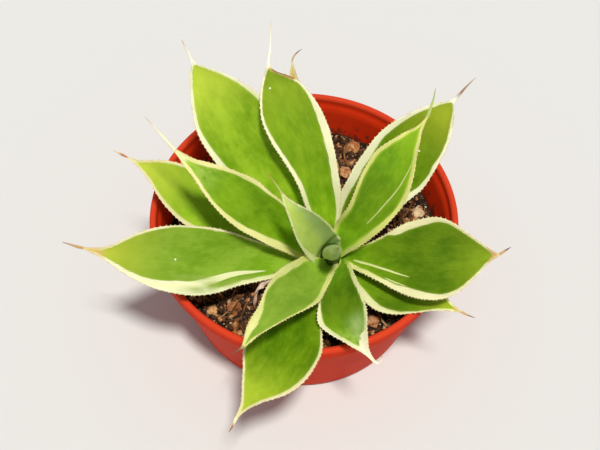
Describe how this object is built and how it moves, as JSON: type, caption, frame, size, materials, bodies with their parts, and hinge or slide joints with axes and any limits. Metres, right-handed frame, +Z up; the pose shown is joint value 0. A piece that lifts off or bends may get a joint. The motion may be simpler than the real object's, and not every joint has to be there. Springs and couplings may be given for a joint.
{
  "type": "potted variegated agave",
  "caption": "Young variegated agave rosette with broad cream-margined leaves ending in long spines, leaning over a shallow round plastic pot of gravelly soil.",
  "frame": {"origin": "centre of the pot's underside, on the surface it stands on", "axes": "+Z up along the pot's axis; the rosette leans towards -Y, and +X is to the right seen from there"},
  "size_m": [0.1926, 0.194, 0.1657],
  "materials": {
    "pot": "semi-gloss",
    "soil": "rough, granular",
    "stem": "matt",
    "leaf_young": "matt with a waxy bloom",
    "leaf": "satin",
    "dry_leaf": "matt",
    "pebble": "rough",
    "bark": "rough"
  },
  "bodies": {
    "root": {"pot": "pot", "soil": "soil", "stem": "stem", "central_spear": "leaf_young", "leaf_01": "leaf_young", "leaf_02": "leaf_young", "leaf_03": "leaf_young", "leaf_04": "leaf_young", "leaf_05": "leaf", "leaf_06": "leaf", "leaf_07": "leaf", "leaf_08": "leaf", "leaf_09": "leaf", "leaf_10": "leaf", "leaf_11": "leaf", "leaf_12": "leaf", "leaf_13": "leaf", "leaf_14": "leaf", "withered_leaf": "dry_leaf", "pebble_01": "pebble", "pebble_02": "pebble", "pebble_03": "pebble", "pebble_04": "pebble", "pebble_05": "pebble", "pebble_06": "pebble", "pebble_07": "pebble", "pebble_08": "pebble", "pebble_09": "pebble", "pebble_10": "pebble", "pebble_11": "pebble", "pebble_12": "pebble", "pebble_13": "pebble", "pebble_14": "pebble", "pebble_15": "pebble", "bark_chip_01": "bark", "bark_chip_02": "bark", "bark_chip_03": "bark", "bark_chip_04": "bark", "bark_chip_05": "bark", "bark_chip_06": "bark", "bark_chip_07": "bark"}
  },
  "joints": []
}
